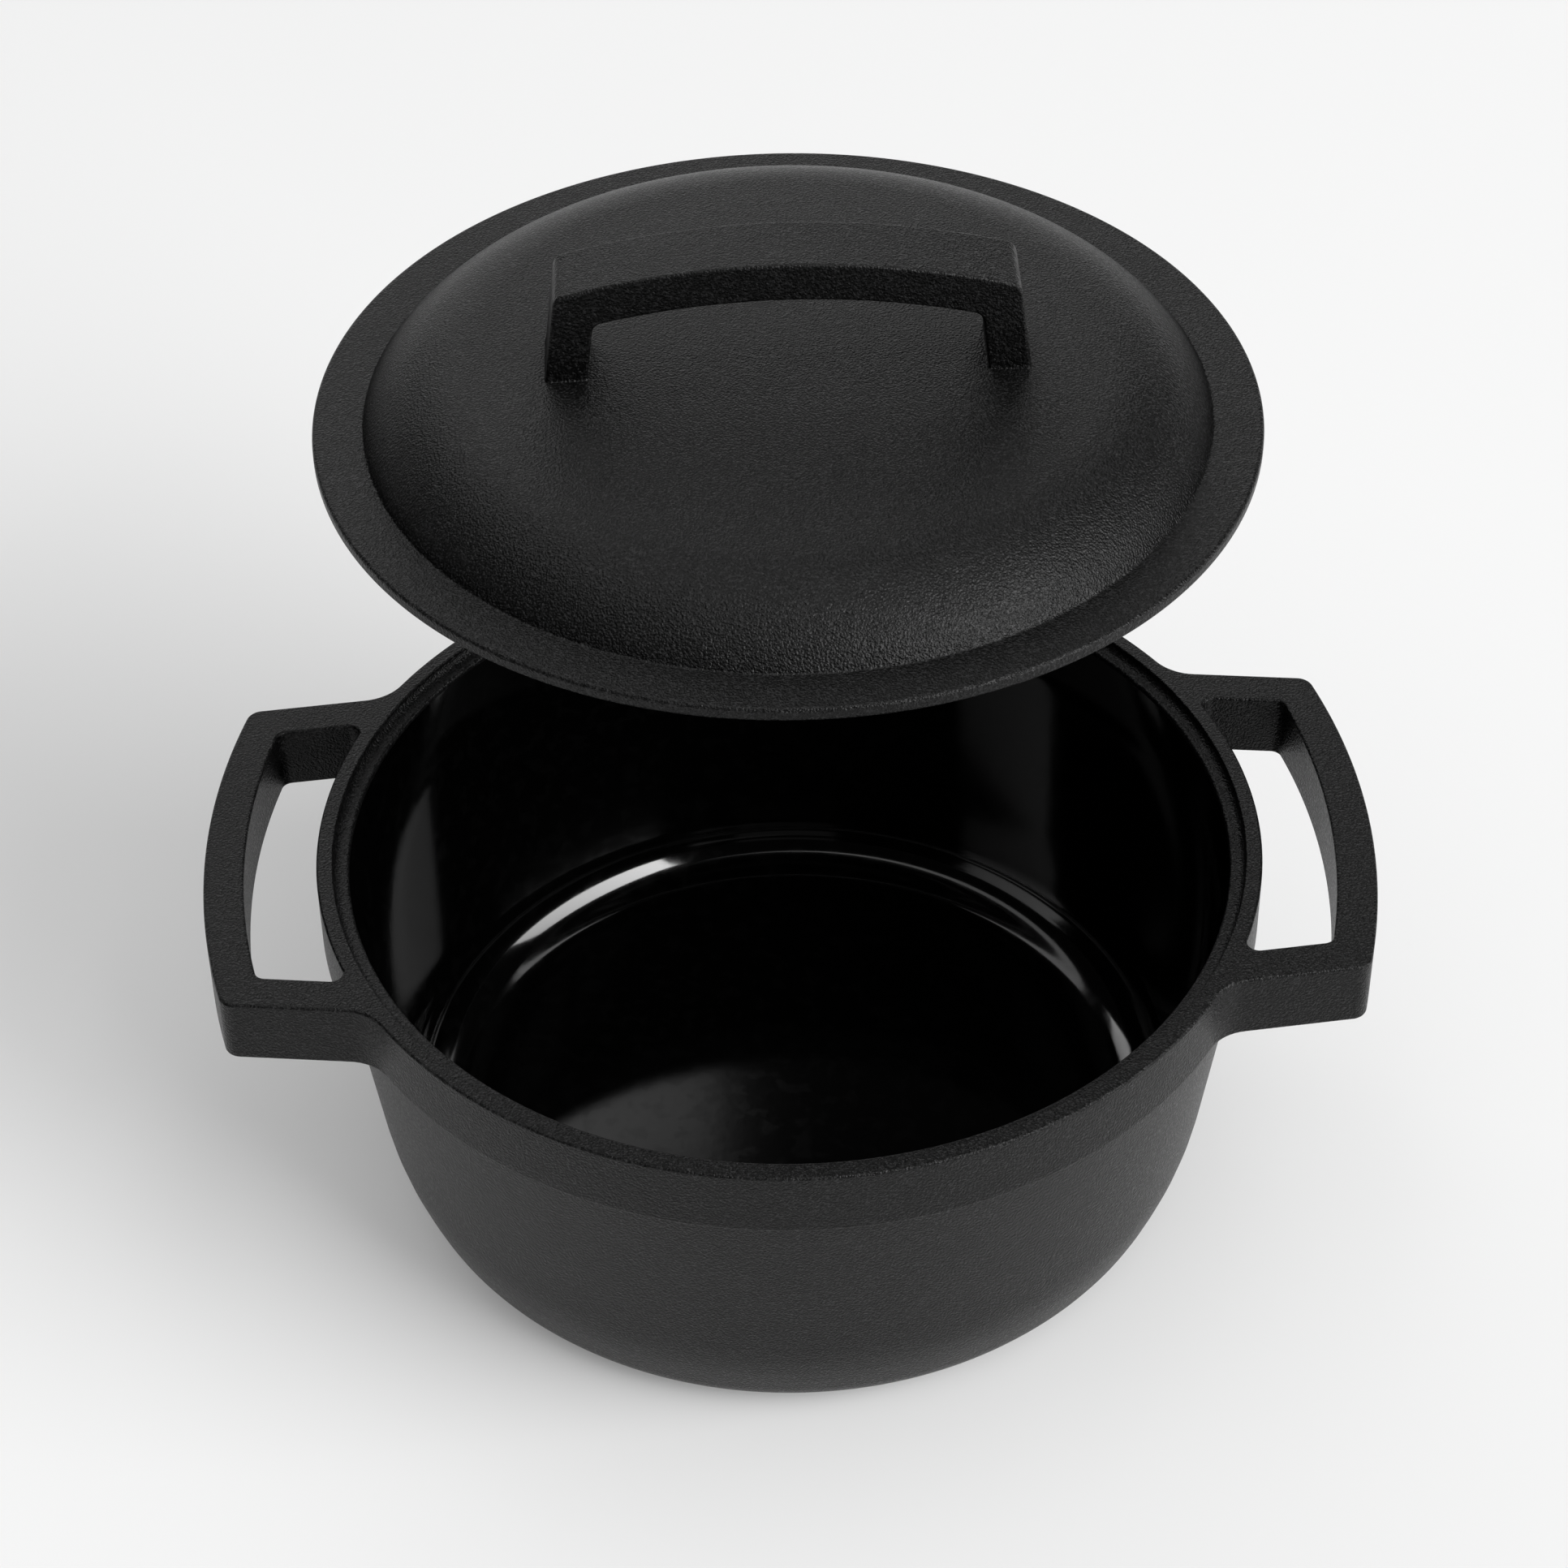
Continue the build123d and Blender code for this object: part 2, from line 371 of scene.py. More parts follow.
class TurningTree:
    """Geometry Nodes that turn a profile about the Z axis, as a lathe does."""

    def __init__(self) -> None:
        """Builds the tree."""
        self.tree = bpy.data.node_groups.new("turned surface", "GeometryNodeTree")
        face = self.tree.interface
        face.new_socket("Profile", in_out="INPUT", socket_type="NodeSocketGeometry")
        steps = face.new_socket("Steps", in_out="INPUT", socket_type="NodeSocketInt")
        steps.default_value = TURN_STEPS
        finish = face.new_socket("Finish", in_out="INPUT", socket_type="NodeSocketMaterial")
        face.new_socket("Surface", in_out="OUTPUT", socket_type="NodeSocketGeometry")
        self.steps, self.finish = steps.identifier, finish.identifier
        self._wire()

    def _node(self, kind: str, **values: object) -> bpy.types.Node:
        """Adds a node and sets its properties."""
        node = self.tree.nodes.new(kind)
        for name, value in values.items():
            setattr(node, name, value)
        return node

    def _turned(self, profile: object, value: object, place: object, angle: object) -> object:
        """Reads a vector from the profile at a place, and turns it about Z."""
        link = self.tree.links.new
        read = self._node("GeometryNodeSampleIndex", data_type="FLOAT_VECTOR", domain="POINT")
        link(profile, read.inputs["Geometry"])
        link(value, read.inputs["Value"])
        link(place, read.inputs["Index"])
        turn = self._node("ShaderNodeVectorRotate", rotation_type="Z_AXIS")
        link(read.outputs["Value"], turn.inputs["Vector"])
        link(angle, turn.inputs["Angle"])
        return turn.outputs["Vector"]

    def _wire(self) -> None:
        """Joins the nodes: a grid whose one side runs along the profile and the other round."""
        link = self.tree.links.new
        given = self._node("NodeGroupInput")
        profile, steps = given.outputs["Profile"], given.outputs["Steps"]
        size = self._node("GeometryNodeAttributeDomainSize", component="MESH")
        link(profile, size.inputs["Geometry"])
        count = size.outputs["Point Count"]
        grid = self._node("GeometryNodeMeshGrid")
        link(maths(self.tree, "ADD", steps, 1.0), grid.inputs["Vertices X"])
        link(count, grid.inputs["Vertices Y"])
        index = self._node("GeometryNodeInputIndex").outputs["Index"]
        ring = maths(self.tree, "FLOOR", maths(self.tree, "DIVIDE", index, count))
        place = maths(self.tree, "MODULO", index, count)
        share = maths(self.tree, "DIVIDE", ring, steps)
        angle = maths(self.tree, "MULTIPLY", share, FULL_TURN)
        position = self._node("GeometryNodeInputPosition").outputs["Position"]
        way = self._node("GeometryNodeInputNamedAttribute", data_type="FLOAT_VECTOR")
        way.inputs["Name"].default_value = "out"
        move = self._node("GeometryNodeSetPosition")
        link(grid.outputs["Mesh"], move.inputs["Geometry"])
        link(self._turned(profile, position, place, angle), move.inputs["Position"])
        store = self._node(
            "GeometryNodeStoreNamedAttribute", data_type="FLOAT_VECTOR", domain="POINT"
        )
        store.inputs["Name"].default_value = "out"
        link(move.outputs["Geometry"], store.inputs["Geometry"])
        link(
            self._turned(profile, way.outputs["Attribute"], place, angle), store.inputs["Value"]
        )
        dress = self._node("GeometryNodeSetMaterial")
        link(store.outputs["Geometry"], dress.inputs["Geometry"])
        link(given.outputs["Finish"], dress.inputs["Material"])
        real = self._node("GeometryNodeRealizeInstances")
        link(dress.outputs["Geometry"], real.inputs["Geometry"])
        result = self._node("NodeGroupOutput")
        link(real.outputs["Geometry"], result.inputs["Surface"])

    def turn(self, trace: Trace, finish: bpy.types.Material) -> Patch:
        """Turns a trace of (radius, height) about the Z axis.

        Args:
            trace: The profile.
            finish: The material.

        Returns:
            The turned surface.
        """
        count = len(trace.points)
        mesh = bpy.data.meshes.new("profile")
        corners = [(r, 0.0, z) for r, z in trace.points]
        mesh.from_pydata(corners, [(i, i + 1) for i in range(count - 1)], [])
        way = mesh.attributes.new("out", "FLOAT_VECTOR", "POINT")
        way.data.foreach_set("vector", [v for r, z in trace.out for v in (r, 0.0, z)])
        blank = bpy.data.objects.new("profile", mesh)
        bpy.context.scene.collection.objects.link(blank)
        lathe = blank.modifiers.new("lathe", "NODES")
        lathe.node_group = self.tree
        lathe[self.steps] = TURN_STEPS
        lathe[self.finish] = finish
        evaluated = blank.evaluated_get(bpy.context.evaluated_depsgraph_get())
        turned = bpy.data.meshes.new_from_object(evaluated)
        total = len(turned.vertices)
        corners, out = np.zeros(total * 3), np.zeros(total * 3)
        turned.vertices.foreach_get("co", corners)
        turned.attributes["out"].data.foreach_get("vector", out)
        faces = [tuple(f.vertices) for f in turned.polygons]
        bpy.data.objects.remove(blank)
        bpy.data.meshes.remove(mesh)
        bpy.data.meshes.remove(turned)
        return Patch(corners.reshape(-1, 3), out.reshape(-1, 3), faces)


# ---------------------------------------------------------------- plates


@dataclass
class Plate:
    """A flat shape with thickness and rounded edges, drawn on two axes and thick along a third."""

    axes: np.ndarray  # the three axes, one in each row
    low: float
    high: float
    rounding: float

    def placed(self, flat: np.ndarray, level: float) -> np.ndarray:
        """Points of the drawing at one level of the thickness."""
        return flat @ self.axes[:2] + level * self.axes[2]

    def rim(self, trace: Trace) -> np.ndarray:
        """Where the flat face ends and the rounding starts."""
        return trace.points - trace.out * self.rounding

    def sides(self, trace: Trace, flats: int = 1) -> list[tuple[np.ndarray, np.ndarray]]:
        """Rows of the side surface, from the low face's rim to the high face's.

        Args:
            trace: The edge on the drawing.
            flats: How many faces the flat middle gets across.

        Returns:
            Each row's points and ways out.
        """
        quarter = np.linspace(0, math.pi / 2, ROUND_STEPS + 1)
        bottom, top = self.low + self.rounding, self.high - self.rounding
        stations = [(a, bottom + self.rounding * math.sin(a)) for a in -quarter[::-1]]
        stations += [(0.0, level) for level in np.linspace(bottom, top, flats + 1)[1:-1]]
        stations += [(a, top + self.rounding * math.sin(a)) for a in quarter]
        rows = []
        for tilt, level in stations:
            inset = self.rounding * (1 - math.cos(tilt))
            points = self.placed(trace.points - trace.out * inset, level)
            rows.append((points, self.placed(trace.out * math.cos(tilt), math.sin(tilt))))
        return rows

    def face(self, outer: np.ndarray, holes: list[np.ndarray], top: bool) -> Patch:
        """One of the two flat faces.

        Args:
            outer: The rim of the face.
            holes: The rims of its holes.
            top: True for the high face.

        Returns:
            The face.
        """
        flat, faces = filled(outer, holes)
        level, way = (self.high, 1.0) if top else (self.low, -1.0)
        out = np.tile(way * self.axes[2], (len(flat), 1))
        return Patch(self.placed(flat, level), out, faces)


# ---------------------------------------------------------------- finishes


class SurfaceGroup:
    """Shader node group of a cast and enamelled skin, which every finish here uses.

    It puts out a height for bumps and a mask of the raised grains.
    """

    INPUTS = (("Grain Size", 0.5), ("Ripple Size", 9.0), ("Ripple Height", 0.5))  # sizes in mm
    GRAIN_NOISE = (2.0, 0.55)  # a noise's detail and roughness
    RIPPLE_NOISE = (1.0, 0.5)
    WAVES_PER_SIZE = 0.5
    CELLS_PER_SIZE = 0.62
    CELL_DEPTH = 0.55  # of the dents between the grains
    CELL_SMOOTHNESS = 0.6
    GRAIN_LEVELS = (0.52, 0.62)  # a grain's mask rises between these heights

    def __init__(self) -> None:
        """Builds the group."""
        self.tree = bpy.data.node_groups.new("enamelled skin", "ShaderNodeTree")
        new_socket = self.tree.interface.new_socket
        for name, value in self.INPUTS:
            socket = new_socket(name, in_out="INPUT", socket_type="NodeSocketFloat")
            socket.default_value = value
        for name in ("Height", "Grains"):
            new_socket(name, in_out="OUTPUT", socket_type="NodeSocketFloat")
        nodes, link = self.tree.nodes, self.tree.links.new
        given, result = nodes.new("NodeGroupInput"), nodes.new("NodeGroupOutput")
        place = nodes.new("ShaderNodeTexCoord")
        spot = place.outputs["Object"]
        grain = self._noise(given.outputs["Grain Size"], spot, *self.GRAIN_NOISE)
        ripple = self._noise(given.outputs["Ripple Size"], spot, *self.RIPPLE_NOISE)
        cells = nodes.new("ShaderNodeTexVoronoi")
        cells.feature = "SMOOTH_F1"
        cells.inputs["Smoothness"].default_value = self.CELL_SMOOTHNESS
        link(spot, cells.inputs["Vector"])
        cell_scale = self._scale(given.outputs["Grain Size"], self.CELLS_PER_SIZE)
        link(cell_scale, cells.inputs["Scale"])
        hills, valleys = grain.outputs["Fac"], cells.outputs["Distance"]
        mound = maths(self.tree, "MULTIPLY_ADD", valleys, -self.CELL_DEPTH, hills)
        swell = (ripple.outputs["Fac"], given.outputs["Ripple Height"])
        height = maths(self.tree, "ADD", mound, maths(self.tree, "MULTIPLY", *swell))
        link(height, result.inputs["Height"])
        mask = nodes.new("ShaderNodeMapRange")
        mask.interpolation_type = "SMOOTHSTEP"
        low, high = self.GRAIN_LEVELS
        mask.inputs["From Min"].default_value, mask.inputs["From Max"].default_value = low, high
        link(grain.outputs["Fac"], mask.inputs["Value"])
        link(mask.outputs["Result"], result.inputs["Grains"])

    def _scale(self, size: object, share: float) -> object:
        """Turns a size in millimetres into a texture's scale."""
        return maths(self.tree, "DIVIDE", share / MM, size)

    def _noise(self, size: object, place: object, detail: float, rough: float) -> bpy.types.Node:
        """Adds a noise texture whose features are this size."""
        noise = self.tree.nodes.new("ShaderNodeTexNoise")
        noise.inputs["Detail"].default_value = detail
        noise.inputs["Roughness"].default_value = rough
        self.tree.links.new(place, noise.inputs["Vector"])
        self.tree.links.new(self._scale(size, self.WAVES_PER_SIZE), noise.inputs["Scale"])
        return noise


@dataclass(frozen=True)
class EnamelFinish:
    """Enamel on cast iron, matte and sandy outside, glossy inside."""

    name: str
    color: tuple[float, float, float]
    grain_color: tuple[float, float, float]
    roughness: float
    grain_roughness: float
    grain_size: float  # in millimetres
    ripple_size: float  # in millimetres
    ripple_height: float  # against the grain's
    bump: float  # height of the grain, in metres
    specular: float = 0.5

    def material(self, skin: SurfaceGroup) -> bpy.types.Material:
        """Makes the material.

        Args:
            skin: The shared node group.

        Returns:
            The material.
        """
        made = bpy.data.materials.new(self.name)
        made.use_nodes = True
        nodes, link = made.node_tree.nodes, made.node_tree.links.new
        shader = nodes["Principled BSDF"]
        shader.inputs["Specular IOR Level"].default_value = self.specular
        group = nodes.new("ShaderNodeGroup")
        group.node_tree = skin.tree
        group.inputs["Grain Size"].default_value = self.grain_size
        group.inputs["Ripple Size"].default_value = self.ripple_size
        group.inputs["Ripple Height"].default_value = self.ripple_height
        tint = nodes.new("ShaderNodeMix")
        tint.data_type = "RGBA"
        tint.inputs["A"].default_value = (*self.color, 1.0)
        tint.inputs["B"].default_value = (*self.grain_color, 1.0)
        link(group.outputs["Grains"], tint.inputs["Factor"])
        link(tint.outputs["Result"], shader.inputs["Base Color"])
        sheen = nodes.new("ShaderNodeMapRange")
        sheen.inputs["To Min"].default_value = self.roughness
        sheen.inputs["To Max"].default_value = self.grain_roughness
        link(group.outputs["Grains"], sheen.inputs["Value"])
        link(sheen.outputs["Result"], shader.inputs["Roughness"])
        bump = nodes.new("ShaderNodeBump")
        bump.inputs["Strength"].default_value = 1.0
        bump.inputs["Distance"].default_value = self.bump
        link(group.outputs["Height"], bump.inputs["Height"])
        link(bump.outputs["Normal"], shader.inputs["Normal"])
        return made


MATTE_ENAMEL = EnamelFinish(
    name="matte black enamel",
    color=(0.001, 0.001, 0.001),
    grain_color=(0.012, 0.012, 0.0123),
    roughness=0.38,
    grain_roughness=0.28,
    grain_size=0.34,
    ripple_size=7.0,
    ripple_height=0.6,
    bump=0.32 * MM,
    specular=0.21,
)
GLOSS_ENAMEL = EnamelFinish(
    name="gloss black enamel",
    color=(0.0005, 0.0005, 0.0005),
    grain_color=(0.001, 0.001, 0.001),
    roughness=0.08,
    grain_roughness=0.1,
    grain_size=2.5,
    ripple_size=22.0,
    ripple_height=1.0,
    bump=0.004 * MM,
    specular=0.74,
)


# ---------------------------------------------------------------- pot


@dataclass
class Pot:
    """The pot: base, wall, rim band with the lid's seat, two loop handles, and the lining."""

    rim_radius: float = 125 * MM
    band_height: float = 18.8 * MM
    band_overhang: float = 2.9 * MM
    rim_ring_width: float = 4.3 * MM
    seat_width: float = 4.1 * MM
    seat_depth: float = 3.0 * MM
    knee_height: float = 24.0 * MM
    knee_inset: float = 8.6 * MM
    knee_rounding: float = 80.0 * MM
    corner_inset: float = 17.3 * MM
    corner_rounding: float = 18.0 * MM
    bore_depth: float = 19.0 * MM
    cavity_corner_inset: float = 11.6 * MM
    cavity_knee_rounding: float = 60.0 * MM
    cavity_corner_rounding: float = 16.4 * MM
    floor_thickness: float = 4.1 * MM
    lining_thickness: float = 0.5 * MM
    lining_drop: float = 1.5 * MM
    handle_half_span: float = 60.3 * MM
    handle_taper: float = 6.4  # degrees
    handle_bow_radius: float = 209.7 * MM
    handle_bar: float = 10.6 * MM
    handle_outer_corner: float = 4.5 * MM
    handle_window_corner: float = 3.0 * MM
    handle_root_rounding: float = 13.0 * MM
    edge_rounding: float = 0.8 * MM
    seat_root_rounding: float = 2.4 * MM
    seat_edge_rounding: float = 0.9 * MM
    rim_inner_rounding: float = 0.4 * MM
    wall_root_rounding: float = 1.6 * MM

    def __post_init__(self) -> None:
        """Takes the outer sizes from the frame."""
        low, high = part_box("pot_casting")
        self.base, self.top, self.reach = low.z, high.z, high.x
        self.seat_radius = self.rim_radius - self.rim_ring_width
        self.bore_radius = self.seat_radius - self.seat_width
        self.ledge = self.top - self.seat_depth
        self.band_bottom = self.top - self.band_height
        self.wall_top_radius = self.rim_radius - self.band_overhang
        self.plate = Plate(np.eye(3), self.band_bottom, self.top, self.edge_rounding)
        self.loop = BowedLoop(
            root=self.rim_radius,
            half_span=self.handle_half_span,
            taper=self.handle_taper,
            reach=self.reach,
            bow_radius=self.handle_bow_radius,
        )

    def wall(self) -> Trace:
        """Outside of the base and wall, from the axis to the band's underside."""
        corners = [
            (0.0, self.base),
            (self.wall_top_radius - self.corner_inset, self.base),
            (self.wall_top_radius - self.knee_inset, self.base + self.knee_height),
            (self.wall_top_radius, self.band_bottom),
            (self.wall_top_radius + self.wall_root_rounding, self.band_bottom),
        ]
        root = self.wall_root_rounding - WELD  # leaves a hair of the band's flat underside
        return rounded_path(corners, [self.corner_rounding, self.knee_rounding, root])

    def cavity(self, growth: float) -> list[tuple[float, float]]:
        """Corners of the cavity, from the axis to the lining's top edge, moved out by growth."""
        floor = self.base + self.floor_thickness + self.lining_thickness - growth
        return [
            (0.0, floor),
            (self.bore_radius - self.cavity_corner_inset + growth, floor),
            (self.bore_radius + growth, self.ledge - self.bore_depth),
            (self.bore_radius + growth, self.ledge - self.lining_drop),
        ]

    def seat(self) -> Trace:
        """The lid's seat and the casting's inside, from the rim's flat top to the axis."""
        start = self.seat_radius + self.rim_inner_rounding + WELD / 10  # a hair of the flat top
        corners = [
            (start, self.top),
            (self.seat_radius, self.top),
            (self.seat_radius, self.ledge),
            (self.bore_radius, self.ledge),
            (self.bore_radius, self.ledge - self.lining_drop),
            *self.cavity(self.lining_thickness)[::-1],
        ]
        radii = [
            self.rim_inner_rounding,
            self.seat_root_rounding,
            self.seat_edge_rounding,
            0.0,
            0.0,
            self.cavity_knee_rounding + self.lining_thickness,
            self.cavity_corner_rounding + self.lining_thickness,
        ]
        return rounded_path(corners, radii)

    def lining_section(self) -> Trace:
        """The lining's whole section, from the axis under it to the axis on top."""
        below, above = self.cavity(self.lining_thickness), self.cavity(0.0)
        under = [
            self.cavity_corner_rounding + self.lining_thickness,
            self.cavity_knee_rounding + self.lining_thickness,
        ]
        over = [self.cavity_knee_rounding, self.cavity_corner_rounding]
        return rounded_path([*below, *above[::-1]], [*under, 0.0, 0.0, *over])

    def outline(self) -> Trace:
        """The band and both loops seen from above, walked once round from the right-hand tip."""
        edge, leg = self.loop.edge(0.0, self.handle_outer_corner, hollow=False)
        hub = leg.moved(self.handle_root_rounding).meet(
            (0.0, 0.0), self.rim_radius + self.handle_root_rounding
        )
        bearing = heading(hub)
        start, end = heading(-leg.out), bearing - math.pi
        root = arc(tuple(hub), self.handle_root_rounding, start, end, hollow=True)
        quarter = edge + root + arc((0.0, 0.0), self.rim_radius, bearing, math.pi / 2)
        half = quarter + quarter.flipped((-1, 1))
        return half + half.flipped((1, -1))

    def window(self) -> Trace:
        """The right-hand loop's window, walked once round from the middle of the grip."""
        edge, leg = self.loop.edge(self.handle_bar, self.handle_window_corner, hollow=True)
        hub = leg.moved(self.handle_window_corner).meet(
            (0.0, 0.0), self.rim_radius + self.handle_window_corner
        )
        bearing = heading(hub)
        start, end = heading(-leg.out), bearing + math.pi
        corner = arc(tuple(hub), self.handle_window_corner, start, end, hollow=True)
        half = edge + corner + arc((0.0, 0.0), self.rim_radius, bearing, 0.0)
        return half + half.flipped((1, -1))

    def band(self) -> list[Patch]:
        """The band and both loops: their edges and flat faces."""
        outline, right = self.outline(), self.window()
        left = right.flipped((-1, 1))
        edges = [self.plate.sides(trace) for trace in (outline, right, left)]
        windows = [self.plate.rim(trace) for trace in (right, left)]
        around = np.linspace(0, FULL_TURN, TURN_STEPS, endpoint=False)
        circle = np.column_stack([np.cos(around), np.sin(around)])
        seat = circle * (self.seat_radius + self.rim_inner_rounding)
        wall = circle * (self.wall_top_radius + self.wall_root_rounding)
        rim = self.plate.rim(outline)
        return [
            *[loft(rows) for rows in edges],
            self.plate.face(rim, [*windows, seat], top=True),
            self.plate.face(rim, [*windows, wall], top=False),
        ]

    def build(self, lathe: TurningTree, finishes: dict[Slot, bpy.types.Material]) -> None:
        """Makes the pot's two pieces.

        Args:
            lathe: The tree that turns profiles.
            finishes: The materials.
        """
        matte, gloss = finishes[Slot.MATTE], finishes[Slot.GLOSS]
        turned = [lathe.turn(self.wall(), matte), lathe.turn(self.seat(), matte)]
        casting = welded("pot_body", [*turned, *self.band()], matte)
        lining = welded("pot_enamel_lining", [lathe.turn(self.lining_section(), gloss)], gloss)
        settle(casting, Body.POT, "pot_casting")
        settle(lining, Body.POT, "pot_lining")


def settle(piece: bpy.types.Object, body: Body, node: str) -> None:
    """Lets a piece ride on its body, in place of its node.

    Args:
        piece: The piece.
        body: The body that it rides on.
        node: The node that it stands for.
    """
    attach(piece, body.value)
    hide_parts(node)


# ---------------------------------------------------------------- lid


@dataclass
class Lid:
    """The lid: flange, dome, arched handle and lining, about the middle of its flange's top."""

    flange_thickness: float = 3.7 * MM
    flange_width: float = 12.7 * MM
    shoulder_radius: float = 34.0 * MM
    shoulder_angle: float = 56.5  # degrees of slope at the crease
    crown_angle: float = 2.8  # degrees of slope where the crown starts
    wall: float = 3.6 * MM
    lining_thickness: float = 0.5 * MM
    lining_drop: float = 1.5 * MM
    handle_half_span: float = 60.4 * MM
    handle_taper: float = 7.0  # degrees
    handle_bow_radius: float = 209.7 * MM
    handle_bar: float = 10.3 * MM
    handle_width: float = 19.7 * MM
    handle_outer_corner: float = 3.5 * MM
    handle_inner_corner: float = 3.0 * MM
    foot_rounding: float = 0.3 * MM  # tighter than the solid's
    edge_rounding: float = 0.8 * MM
    flange_rounding: float = 1.1 * MM
    crease_rounding: float = 0.8 * MM
    hollow_edge_rounding: float = 1.0 * MM
    crown_patch: float = 76.0 * MM  # the crown is filled round the feet as far out as this,
    ring_gap: float = 5.0 * MM  # on rings of points this far apart
    foot_faces: tuple[int, int] = (10, 6)  # across the handle's width, and the bar's thickness
    foot_rows: int = 8  # of faces in a foot's rounding
    landings: int = 4  # tries that bring a foot down on the crown

    def __post_init__(self) -> None:
        """Takes the lid's place and outer sizes from the frame."""
        low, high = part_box("lid_casting")
        self.radius = (high.x - low.x) / 2
        flange_top = low.z + self.flange_thickness
        self.place = np.array([(low.x + high.x) / 2, (low.y + high.y) / 2, flange_top])
        self.handle_top = high.z - self.place[2]
        slope, gentle = math.radians(self.shoulder_angle), math.radians(self.crown_angle)
        self.crease_radius = self.radius - self.flange_width
        self.shoulder = np.array(
            [
                self.crease_radius - self.shoulder_radius * math.sin(slope),
                -self.shoulder_radius * math.cos(slope),
            ]
        )
        self.crown_start = math.pi / 2 - gentle
        tangent = self.shoulder[0] + self.shoulder_radius * math.sin(gentle)
        self.crown_radius = tangent / math.sin(gentle)
        drop = (self.crown_radius - self.shoulder_radius) * math.cos(gentle)
        self.crown_centre = (0.0, float(self.shoulder[1] - drop))
        self.crown_top = self.crown_centre[1] + self.crown_radius
        self.foot_level = self.crown_top - self.wall
        self.loop = BowedLoop(
            root=self.foot_level,
            half_span=self.handle_half_span,
            taper=self.handle_taper,
            reach=self.handle_top,
            bow_radius=self.handle_bow_radius,
        )
        sideways = np.array([[0, 0, 1], [1, 0, 0], [0, 1, 0]], float)
        half = self.handle_width / 2
        self.plate = Plate(sideways, -half, half, self.edge_rounding)

    def height_of_crown(self, flat: np.ndarray) -> np.ndarray:
        """Height of the crown over points seen from above."""
        square = self.crown_radius**2 - (flat**2).sum(axis=-1)
        return self.crown_centre[1] + np.sqrt(square)

    def shoulder_hub(self, inset: float, level: float, rounding: float) -> np.ndarray:
        """Centre of a rounding between a flat level and the shoulder's arc moved in by inset."""
        reach = self.shoulder_radius - inset + rounding
        rise = level + rounding - self.shoulder[1]
        return np.array([self.shoulder[0] + math.sqrt(reach**2 - rise**2), level + rounding])

    def shoulder_end(self, inset: float, level: float) -> float:
        """The angle at which the shoulder's arc, moved in by inset, is at this level."""
        return math.asin((level - self.shoulder[1]) / (self.shoulder_radius - inset))

    def hollow(self, inset: float, level: float) -> Trace:
        """The dome's hollow, its skin moved in by inset, from the axis down to a level."""
        crown = arc(
            self.crown_centre, self.crown_radius - inset, math.pi / 2, self.crown_start, hollow=True
        )
        end = self.shoulder_end(inset, level)
        centre = tuple(self.shoulder)
        return crown + arc(centre, self.shoulder_radius - inset, self.crown_start, end, hollow=True)

    def section(self) -> Trace:
        """The casting's section from the hollow's axis, round the flange, up to the crown."""
        whole_wall = self.wall + self.lining_thickness
        underside = -self.flange_thickness
        step = underside + self.lining_drop
        centre = tuple(self.shoulder)
        lip = self.shoulder_hub(whole_wall, underside, self.hollow_edge_rounding)
        crease = self.shoulder_hub(0.0, 0.0, self.crease_rounding)
        recess = self.hollow(self.wall, step)
        visible = arc(
            centre,
            self.shoulder_radius - whole_wall,
            self.shoulder_end(whole_wall, step),
            heading(lip - self.shoulder),
            hollow=True,
        )
        ledge = rounded_path([tuple(recess.points[-1]), tuple(visible.points[0])], [])
        down = -math.pi / 2
        turn_out = arc(tuple(lip), self.hollow_edge_rounding, heading(self.shoulder - lip), down)
        flange = rounded_path(
            [(lip[0], underside), (self.radius, underside), (self.radius, 0.0), (crease[0], 0.0)],
            [self.flange_rounding, self.flange_rounding],
        )
        turn_up = arc(
            tuple(crease), self.crease_rounding, down, heading(self.shoulder - crease), hollow=True
        )
        dome = arc(
            centre, self.shoulder_radius, heading(crease - self.shoulder), self.crown_start
        )
        top = math.pi / 2 - math.asin(self.crown_patch / self.crown_radius)
        crown = arc(self.crown_centre, self.crown_radius, self.crown_start, top)
        return recess + ledge + visible + turn_out + flange + turn_up + dome + crown

    def lining_section(self) -> Trace:
        """The lining's whole section, from the hollow's axis down and back up behind it."""
        level = self.lining_drop - self.flange_thickness
        front = self.hollow(self.wall + self.lining_thickness, level)
        back = self.hollow(self.wall, level)
        back = Trace(back.points[::-1], -back.out[::-1])
        edge = rounded_path([tuple(front.points[-1]), tuple(back.points[0])], [])
        return front + edge + back

    def legs(self) -> tuple[Trace, Trace]:
        """The handle's outer and inner edges, each from one foot's rounding over to the other's."""
        cut = self.crown_top + self.foot_rounding
        edges = []
        outer, inner = (0.0, self.handle_outer_corner), (self.handle_bar, self.handle_inner_corner)
        for inset, corner in (outer, inner):
            half, leg = self.loop.edge(inset, corner, hollow=inset > 0)
            along = np.array([leg.out[1], -leg.out[0]])
            end = leg.point + along * ((cut - leg.point[0]) / along[0])
            half = half + Trace(end[None], leg.out[None])
            edges.append(half.flipped((1, -1)) + half)
        return edges[0], edges[1]

